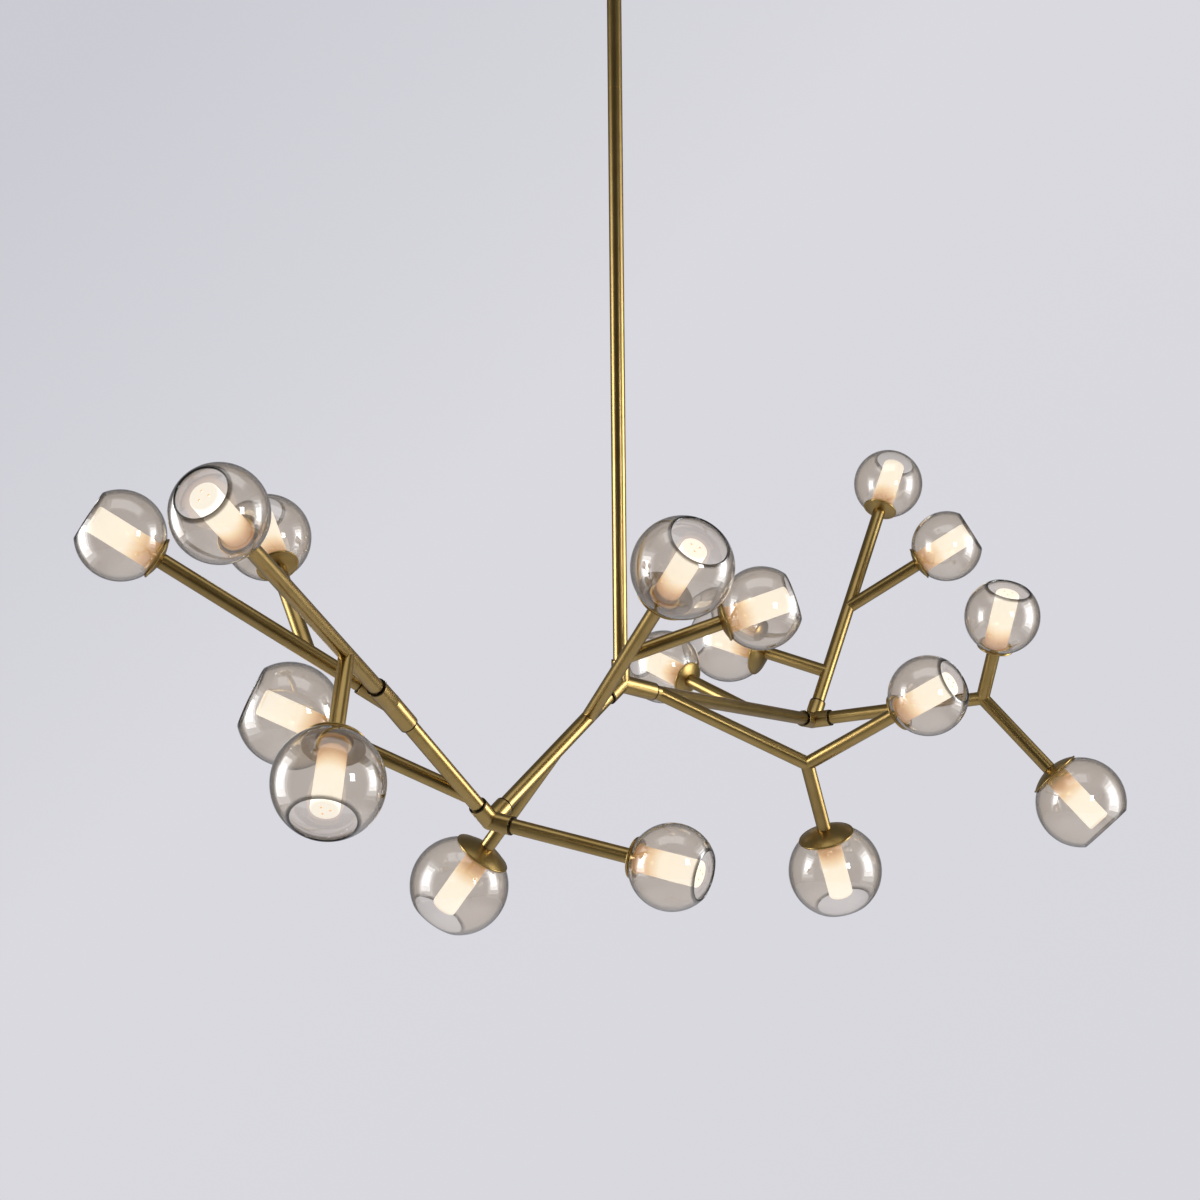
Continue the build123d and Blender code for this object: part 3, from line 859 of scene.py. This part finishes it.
@dataclass
class HeadFittings:
    """Glass globes, caps, frosted sleeves and lampholders of all the lamp heads on one body."""

    body: str
    heads: list[LampHead]
    glass: GlassSizes = field(default_factory=GlassSizes)
    cap: CapSizes = field(default_factory=CapSizes)
    sleeve: SleeveSizes = field(default_factory=SleeveSizes)
    holder: HolderSizes = field(default_factory=HolderSizes)

    def build(self, maker: PieceMaker) -> None:
        """Makes the four groups.

        Args:
            maker: The piece maker.
        """
        self.group(maker, "shades", Slot.GLASS, self.add_globe)
        self.group(maker, "caps", Slot.BRASS, self.add_cap)
        self.group(maker, "sleeves", Slot.FROSTED, self.add_sleeve)
        holders = self.group(maker, "lampholders", Slot.BRASS, self.add_holder)
        # The lampholder flanges get the brighter brass with painted light.
        holders.data.materials[0] = maker.flange

    def group(
        self, maker: PieceMaker, kind: str, slot: Slot, add: Callable[[bmesh.types.BMesh, LampHead], None]
    ) -> bpy.types.Object:
        """Makes one group of alike pieces in place of its CAD node.

        Args:
            maker: The piece maker.
            kind: The group's name after the body's.
            slot: Its material slot.
            add: Adds one head's piece to the mesh.

        Returns:
            The new object.
        """
        bm = bmesh.new()
        bm.loops.layers.uv.new("along")
        for head in self.heads:
            before = set(bm.verts)
            add(bm, head)
            fresh = [vert for vert in bm.verts if vert not in before]
            bmesh.ops.transform(bm, matrix=head.matrix, verts=fresh)
        return maker.piece(f"{self.body}_{kind}_shown", bm, slot, self.body, f"{self.body}_{kind}")

    def add_globe(self, bm: bmesh.types.BMesh, head: LampHead) -> None:
        """Adds a blown globe: a shell with a rounded mouth rim and a neck hole.

        Args:
            bm: The mesh to add to.
            head: The lamp head.
        """
        outer = head.sizes.globe_r
        inner = outer - self.glass.wall
        neck = self.glass.neck_r
        rim = math.acos(head.sizes.mouth_r / outer)
        lip = self.glass.wall / 2
        lip_centre = ((outer - lip) * math.cos(rim), (outer - lip) * math.sin(rim))
        profile = Turned.arc(outer, -math.acos(neck / outer), rim, 44)
        profile += Turned.arc(lip, rim, rim + math.pi, 8, lip_centre)[1:-1]
        profile += Turned.arc(inner, rim, -math.acos(neck / inner), 44)
        faces = Turned(GLOBE_SIDES).add(bm, profile, (-outer, outer))
        bmesh.ops.recalc_face_normals(bm, faces=faces)

    def add_cap(self, bm: bmesh.types.BMesh, head: LampHead) -> None:
        """Adds a domed cap with a rolled rim and a flat for the tube.

        Args:
            bm: The mesh to add to.
            head: The lamp head.
        """
        inner = head.sizes.globe_r + self.cap.fit
        top = inner + self.cap.wall
        bead = self.cap.bead_r
        rim = math.acos((head.sizes.cap_r - bead) / (inner + bead))
        rim_centre = ((inner + bead) * math.cos(rim), -(inner + bead) * math.sin(rim))
        seat = math.acos(self.cap.seat_r / top)
        profile = [(self.cap.hole_r, -top * math.sin(seat))]
        profile += Turned.arc(top, -seat, -rim - bead / top, 24)
        profile += Turned.arc(bead, -rim - math.pi / 3, -rim + math.pi, 14, rim_centre)
        profile += Turned.arc(inner, -rim, -math.acos(self.cap.hole_r / inner), 24)[1:]
        faces = Turned(CAP_SIDES).add(bm, profile, (-top, 0.0))
        bmesh.ops.recalc_face_normals(bm, faces=faces)

    def add_holder(self, bm: bmesh.types.BMesh, head: LampHead) -> None:
        """Adds a lampholder: stud, flange against the glass, shoulder and spigot inside the sleeve.

        Args:
            bm: The mesh to add to.
            head: The lamp head.
        """
        size, sleeve = self.holder, self.sleeve
        inner = head.sizes.globe_r - self.glass.wall
        low = size.fit - math.sqrt(inner**2 - size.flange_r**2)
        high = low + size.flange_t
        foot = -head.sizes.globe_r - size.stud_r
        spigot = sleeve.radius - 1.1 * sleeve.wall
        edge = (size.flange_r - size.edge_round, high - size.edge_round)
        profile = [(0.0, foot), (size.stud_r, foot), (size.stud_r, low), (size.flange_r, low)]
        profile += Turned.arc(size.edge_round, 0.0, math.pi / 2, 5, edge)
        shoulder = head.sizes.sleeve_z
        top = shoulder + size.spigot_h
        profile += [(sleeve.radius, high), (sleeve.radius, shoulder), (spigot, shoulder)]
        profile += [(spigot, top), (0.0, top)]
        Turned(SLEEVE_SIDES).add(bm, profile, (foot, high))

    def add_sleeve(self, bm: bmesh.types.BMesh, head: LampHead) -> None:
        """Adds a frosted sleeve with a rounded tip and vent holes.

        Args:
            bm: The mesh to add to.
            head: The lamp head.
        """
        size = self.sleeve
        base, tip, inner = size.base_z, size.tip_z, size.radius - size.wall
        corner = (size.radius - size.tip_round, tip - size.tip_round)
        ceiling = tip - size.wall
        profile = [(inner, ceiling), (inner, base), (size.radius, base)]
        profile += [(size.radius, base + (corner[1] - base) * i / 20) for i in range(1, 20)]
        profile += Turned.arc(size.tip_round, 0.0, math.pi / 2, 8, corner)
        faces = Turned(SLEEVE_SIDES).add(bm, profile + [(corner[0], ceiling)], (base, tip))
        inside = [face for face in faces if abs(face.calc_center_median().z - (tip + ceiling) / 2) < 0.01]
        bmesh.ops.delete(bm, geom=[face for face in inside if face.is_valid], context="FACES")
        self.add_tip(bm, corner[0], ceiling)

    def add_tip(self, bm: bmesh.types.BMesh, radius: float, ceiling: float) -> None:
        """Closes the sleeve's tip with a flat that has the vent holes in it.

        Args:
            bm: The mesh to add to.
            radius: Radius of the flat.
            ceiling: Height of its inner face.
        """
        size = self.sleeve
        rings = [self.ring(bm, (0.0, 0.0), radius, size.tip_z, SLEEVE_SIDES)]
        for i in range(size.vent_count):
            turn = math.tau * i / size.vent_count
            middle = (size.vent_circle_r * math.cos(turn), size.vent_circle_r * math.sin(turn))
            rings.append(self.ring(bm, middle, size.vent_r, size.tip_z, 16))
        edges = [edge for ring in rings for edge in ring]
        flat = bmesh.ops.triangle_fill(bm, use_beauty=True, use_dissolve=False, edges=edges)["geom"]
        faces = [item for item in flat if isinstance(item, bmesh.types.BMFace)]
        Turned.map_along(bm, faces, (size.base_z, size.tip_z))
        for ring in rings[1:]:
            walls = bmesh.ops.extrude_edge_only(bm, edges=ring)["geom"]
            verts = [item for item in walls if isinstance(item, bmesh.types.BMVert)]
            bmesh.ops.translate(bm, vec=(0, 0, ceiling - size.tip_z), verts=verts)
            faces = [item for item in walls if isinstance(item, bmesh.types.BMFace)]
            Turned.map_along(bm, faces, (ceiling, size.tip_z + size.length))

    @staticmethod
    def ring(
        bm: bmesh.types.BMesh, middle: tuple[float, float], radius: float, height: float, count: int
    ) -> list[bmesh.types.BMEdge]:
        """Adds a level ring of edges.

        Args:
            bm: The mesh to add to.
            middle: Centre of the ring.
            radius: Its radius.
            height: Its height.
            count: Number of points.

        Returns:
            The ring's edges.
        """
        place = Matrix.Translation((*middle, height))
        made = bmesh.ops.create_circle(bm, cap_ends=False, segments=count, radius=radius, matrix=place)
        return list({edge for vert in made["verts"] for edge in vert.link_edges})


HUB_TUBES: dict[str, tuple[str, ...]] = {
    "centre_hub": ("stem_lower", "front_link_tube", "right_stub_tube"),
    "front_hub": ("front_link_tube", "left_link_tube", "short_arm_tube"),
    "left_hub": ("left_link_tube", "left_arm_tube", "front_arm_tube"),
    "rear_hub": ("rear_link_tube", "tall_arm_tube", "right_arm_tube"),
}


@dataclass
class Metalwork:
    """Stem, links, arms and hubs, turned smooth in place of their CAD solids."""

    frame: dict
    sizes: TubeSizes = field(default_factory=TubeSizes)
    canopy: CanopySizes = field(default_factory=CanopySizes)
    runs: dict[str, TubeRun] = field(default_factory=dict)

    def build(self, maker: PieceMaker) -> None:
        """Makes the tubes, then the hubs that they meet in, then the canopy.

        Args:
            maker: The piece maker.
        """
        bodies = self.frame["record"]["behaviour"]["bodies"]
        owners = {node: body for body, nodes in bodies.items() for node in nodes}
        endings = ("_tube", "_tubes", "stem_upper", "stem_lower")
        tubes = [name for name in sorted(owners) if name.endswith(endings)]
        for name in tubes:
            self.add_tubes(maker, name, owners[name])
        for name, ends in HUB_TUBES.items():
            self.add_hub(maker, name, owners[name], ends)
        self.add_canopy(maker, owners["canopy_cover"])

    def add_tubes(self, maker: PieceMaker, name: str, body: str) -> None:
        """Makes the tubes of one CAD node.

        Args:
            maker: The piece maker.
            name: The node.
            body: The body it belongs to.
        """
        size, bm = self.sizes, bmesh.new()
        for solid in Island.all_of(self.frame["nodes"][name]):
            run = TubeRun.from_solid(solid, size)
            self.runs[name] = run
            length, cut = (run.end - run.start).length / MM, size.end_chamfer
            if run.domed:
                profile = [(0.0, 0.0)] + Turned.arc(size.radius, -math.pi / 2, 0.0, 12)
            else:
                profile = [(size.bore_r, 0.0), (size.radius - cut, 0.0), (size.radius, cut)]
            profile += [(size.radius, length - cut), (size.radius - cut, length)]
            profile += [(0.0, length)] if run.domed else [(size.bore_r, length)]
            before = set(bm.verts)
            Turned(TUBE_SIDES).add(bm, profile, (0.0, length))
            fresh = [vert for vert in bm.verts if vert not in before]
            bmesh.ops.transform(bm, matrix=stand_at(run.start, run.way), verts=fresh)
        bmesh.ops.remove_doubles(bm, verts=bm.verts, dist=SAME_POINT_M)
        bmesh.ops.recalc_face_normals(bm, faces=bm.faces)
        maker.piece(f"{name}_shown", bm, Slot.BRASS, body, name)

    def add_hub(self, maker: PieceMaker, name: str, body: str, tubes: tuple[str, ...]) -> None:
        """Makes a hub: a round core with a socket for each tube that ends in it.

        Args:
            maker: The piece maker.
            name: The node.
            body: The body it belongs to.
            tubes: The tubes that end in it.
        """
        size, bm = self.sizes, bmesh.new()
        points = Island.all_of(self.frame["nodes"][name])[0].points
        near = Vector(points.mean(0))
        ends = [((run.start, run.way), (run.end, -run.way)) for run in (self.runs[tube] for tube in tubes)]
        seats = [min(pair, key=lambda seat: (seat[0] - near).length) for pair in ends]
        centre = self.meeting_point(seats)
        bmesh.ops.create_uvsphere(
            bm, u_segments=48, v_segments=24, radius=size.core_r * MM, matrix=Matrix.Translation(centre)
        )
        for end, way in seats:
            along = (points - np.array(centre)) @ np.array(way)
            beside = np.linalg.norm(points - np.array(centre) - along[:, None] * np.array(way), axis=1)
            rim = along[beside < (size.socket_r + 0.2) * MM].max() / MM
            lip = size.socket_round
            profile = [(0.0, 0.0), (size.socket_r, 0.0)]
            profile += Turned.arc(lip, 0.0, math.pi / 2, 5, (size.socket_r - lip, rim - lip))
            seat = (end - centre).dot(way) / MM - size.seat_gap
            profile += [(size.socket_bore_r, rim), (size.socket_bore_r, seat), (0.0, seat)]
            # Near-black ring of painted shade standing just past the socket's rim, round the tube, where the
            # gap lies in shade.
            ring = [(size.socket_bore_r, rim), (size.shade_ring_r, rim), (size.shade_ring_r, rim + size.shade_ring_t)]
            ring += [(size.socket_bore_r, rim + size.shade_ring_t)]
            before = set(bm.verts)
            Turned(TUBE_SIDES).add(bm, profile, (0.0, rim))
            Turned(TUBE_SIDES).add(bm, ring, (0.0, rim), PAINTED_SHADE_TURN)
            fresh = [vert for vert in bm.verts if vert not in before]
            bmesh.ops.transform(bm, matrix=stand_at(centre, way), verts=fresh)
        bmesh.ops.remove_doubles(bm, verts=bm.verts, dist=SAME_POINT_M)
        bmesh.ops.recalc_face_normals(bm, faces=bm.faces)
        maker.piece(f"{name}_shown", bm, Slot.BRASS, body, name)

    @staticmethod
    def meeting_point(lines: list[tuple[Vector, Vector]]) -> Vector:
        """Point that lies nearest to some lines.

        Args:
            lines: A point and a direction for each line.

        Returns:
            The point.
        """
        total, pull = np.zeros((3, 3)), np.zeros(3)
        for point, way in lines:
            off = np.eye(3) - np.outer(way, way)
            total += off
            pull += off @ np.array(point)
        return Vector(np.linalg.solve(total, pull))

    def add_canopy(self, maker: PieceMaker, body: str) -> None:
        """Makes the ceiling canopy and the collar under it.

        Args:
            maker: The piece maker.
            body: The body they belong to.
        """
        size = self.canopy
        floor, corner = -size.height, size.edge_round
        outer = Turned.arc(corner, -math.pi / 2, 0.0, 10, (size.radius - corner, floor + corner))
        inner = Turned.arc(corner - size.wall, 0.0, -math.pi / 2, 10, (size.radius - corner, floor + corner))
        cup = [(size.hole_r, floor), *outer, (size.radius, 0.0), (size.radius - size.wall, 0.0), *inner]
        cup += [(size.hole_r, floor + size.wall)]
        edge = size.collar_round
        foot = floor - size.collar_h
        ring = [(self.sizes.socket_bore_r, foot)]
        ring += Turned.arc(edge, -math.pi / 2, 0.0, 6, (size.collar_r - edge, foot + edge))
        ring += [(size.collar_r, floor), (self.sizes.socket_bore_r, floor)]
        for node, profile in (("canopy_cover", cup), ("canopy_collar", ring)):
            bm = bmesh.new()
            Turned(CANOPY_SIDES).add(bm, profile, (foot, 0.0))
            bmesh.ops.scale(bm, vec=(MM, MM, MM), verts=bm.verts)
            bmesh.ops.recalc_face_normals(bm, faces=bm.faces)
            maker.piece(f"{node}_shown", bm, Slot.BRASS, body, node)


@dataclass(frozen=True)
class SoftBox:
    """One soft box, in layers that get smaller so that its light fades towards its edges."""

    name: str
    place: tuple[float, float, float]
    width: float
    height: float
    radiance: float
    layers: int
    shrink: float = 0.22
    gain: float = 2.6
    gap: float = 0.02

    def build(self) -> None:
        """Adds the layers, aimed at the middle of the cluster."""
        aim = Vector(CLUSTER_MIDDLE) - Vector(self.place)
        for layer in range(self.layers):
            share = 1.0 - self.shrink * layer
            data = bpy.data.lights.new(f"soft_box_{self.name}_{layer}", "AREA")
            data.shape = "RECTANGLE"
            data.size = self.width * share
            data.size_y = self.height * share
            data.energy = self.radiance * self.gain**layer * math.pi * data.size * data.size_y
            lamp = bpy.data.objects.new(data.name, data)
            lamp.location = Vector(self.place) - self.gap * layer * aim.normalized()
            lamp.rotation_euler = aim.to_track_quat("-Z", "Y").to_euler()
            lamp.visible_camera = False
            lamp.visible_transmission = False
            bpy.context.scene.collection.objects.link(lamp)
            log.info("light %s: %.1f W", data.name, data.energy)


@dataclass
class Studio:
    """Camera, lights, background and floor."""

    focal_px: float = 2540.0
    frame_px: float = 1200.0
    camera_place: tuple[float, float, float] = (-0.0245, -3.136, -0.9251)
    camera_roll_deg: float = 0.55
    backdrop: tuple[tuple[float, Colour], ...] = (
        (0.0, (0.60, 0.60, 0.655)),
        (0.38, (0.70, 0.695, 0.745)),
        (1.0, (0.685, 0.68, 0.73)),
    )
    room: tuple[tuple[float, Colour], ...] = (
        (0.0, (0.05, 0.048, 0.045)),
        (0.40, (0.14, 0.135, 0.13)),
        (0.85, (0.12, 0.12, 0.12)),
        (1.0, (0.22, 0.22, 0.23)),
    )
    ambient: Colour = (0.32, 0.32, 0.33)
    floor_r: float = 3.4
    floor_z: float = -2.6
    floor_lift: float = 0.30
    floor_gloss: float = 0.25
    boxes: tuple[SoftBox, ...] = (
        SoftBox("left", (-1.5, -0.25, -0.90), 1.3, 2.0, 0.33, 4),
        SoftBox("right", (1.9, 0.0, -0.90), 1.6, 2.4, 0.33, 4),
        SoftBox("top", (0.0, -0.5, 0.7), 2.4, 1.1, 0.28, 2),
        SoftBox("key", (1.2, -1.6, -0.7), 0.36, 0.46, 9.0, 1),
    )

    def build(self) -> None:
        """Sets the whole studio up."""
        self.add_camera()
        self.add_world()
        for box in self.boxes:
            box.build()
        self.add_floor()
        bpy.context.scene.view_settings.view_transform = "Standard"

    def add_camera(self) -> None:
        """Places the camera where the photograph was taken from: level, in front of the cluster."""
        data = bpy.data.cameras.new("camera")
        data.sensor_width = 36.0
        data.lens = data.sensor_width * self.focal_px / self.frame_px
        camera = bpy.data.objects.new("camera", data)
        camera.location = self.camera_place
        camera.rotation_euler = (math.radians(90), math.radians(self.camera_roll_deg), 0.0)
        bpy.context.scene.collection.objects.link(camera)
        bpy.context.scene.camera = camera

    def add_world(self) -> None:
        """Pale background for what is seen and seen through, a dimmer room for reflections and light."""
        world = bpy.data.worlds.new("studio")
        bpy.context.scene.world = world
        world.use_nodes = True
        nodes = Nodes(world.node_tree)
        path = nodes.add("ShaderNodeLightPath")
        seen = nodes.add("ShaderNodeMath", operation="MAXIMUM")
        nodes.link(path.outputs["Is Camera Ray"], seen.inputs[0])
        nodes.link(path.outputs["Is Transmission Ray"], seen.inputs[1])
        room = self.shade_along(nodes, (0.0, 1.0, 0.0), 1.0, self.room)
        backdrop = self.shade_along(nodes, (1.0, 0.0, -1.0), 0.4, self.backdrop)
        glossy = nodes.add("ShaderNodeMix", data_type="RGBA")
        glossy.inputs[6].default_value = (*self.ambient, 1.0)
        nodes.link(room, glossy.inputs[7])
        nodes.link(path.outputs["Is Glossy Ray"], glossy.inputs[0])
        mix = nodes.add("ShaderNodeMix", data_type="RGBA")
        nodes.link(backdrop, mix.inputs[7])
        nodes.link(seen.outputs[0], mix.inputs[0])
        nodes.link(glossy.outputs[2], mix.inputs[6])
        shader = nodes.add("ShaderNodeBackground")
        nodes.link(mix.outputs[2], shader.inputs["Color"])
        output = nodes.add("ShaderNodeOutputWorld")
        nodes.link(shader.outputs[0], output.inputs["Surface"])

    @staticmethod
    def shade_along(
        nodes: Nodes, way: Colour, reach: float, stops: tuple[tuple[float, Colour], ...]
    ) -> bpy.types.NodeSocket:
        """Colours the world along one direction.

        Args:
            nodes: The world's nodes.
            way: The direction, as seen from the cluster.
            reach: How far along it the colours run, to both sides of the middle.
            stops: Positions from 0 to 1 and their colours.

        Returns:
            The colour socket.
        """
        coords = nodes.add("ShaderNodeTexCoord")
        dot = nodes.add("ShaderNodeVectorMath", operation="DOT_PRODUCT")
        dot.inputs[1].default_value = way
        nodes.link(coords.outputs["Generated"], dot.inputs[0])
        place = nodes.add("ShaderNodeMapRange")
        place.inputs["From Min"].default_value = -reach
        place.inputs["From Max"].default_value = reach
        nodes.link(dot.outputs["Value"], place.inputs["Value"])
        return nodes.ramp(place.outputs["Result"], list(stops))

    def add_floor(self) -> None:
        """Adds a plain pale round floor under the chandelier."""
        bm = bmesh.new()
        bmesh.ops.create_circle(bm, cap_ends=True, segments=GLOBE_SIDES, radius=self.floor_r)
        bmesh.ops.translate(bm, vec=(0, 0, self.floor_z), verts=bm.verts)
        mesh = bpy.data.meshes.new("floor")
        bm.to_mesh(mesh)
        bm.free()
        mesh.materials.append(self.floor_finish())
        floor = bpy.data.objects.new("floor", mesh)
        bpy.context.scene.collection.objects.link(floor)

    def floor_finish(self) -> bpy.types.Material:
        """Makes the floor's finish, lifted towards the backdrop where it is seen, with its shadows kept.

        Returns:
            The new material.
        """
        material = bpy.data.materials.new("floor_pale")
        material.use_nodes = True
        nodes = Nodes(material.node_tree)
        shader = nodes.add("ShaderNodeBsdfPrincipled", Roughness=0.6, Emission_Color=(1.0, 0.99, 1.06, 1.0))
        tint = nodes.ramp(nodes.noise(120.0, 3.0), [(0.3, (0.66, 0.66, 0.69)), (0.7, (0.69, 0.69, 0.72))])
        nodes.link(tint, shader.inputs["Base Color"])
        path = nodes.add("ShaderNodeLightPath")
        lift = nodes.scaled(path.outputs["Is Glossy Ray"], self.floor_gloss)
        for kind in ("Camera", "Transmission"):
            more = nodes.add("ShaderNodeMath", operation="MAXIMUM")
            nodes.link(lift, more.inputs[0])
            nodes.link(path.outputs[f"Is {kind} Ray"], more.inputs[1])
            lift = more.outputs[0]
        nodes.link(nodes.scaled(lift, self.floor_lift), shader.inputs["Emission Strength"])
        nodes.surface(shader)
        return material


class Chandelier:
    """The whole object: metalwork, glass and fittings made here, and the CAD pieces that stay in sight."""

    def __init__(self, frame: dict) -> None:
        """Reads the lamp heads from the frame.
        """
        self.maker = PieceMaker(frame)
        self.metalwork = Metalwork(frame)
        self.fittings = [
            HeadFittings(
                name.removesuffix("_shades"), [LampHead.from_shade(shade) for shade in Island.all_of(node)]
            )
            for name, node in sorted(frame["nodes"].items())
            if name.endswith("_shades")
        ]

    def build(self) -> None:
        """Makes every piece."""
        self.maker.finish_cad()
        self.metalwork.build(self.maker)
        for fittings in self.fittings:
            fittings.build(self.maker)


def main() -> None:
    """Builds the chandelier and its studio."""
    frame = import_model()
    Chandelier(frame).build()
    Studio().build()


if __name__ == "__main__":
    main()
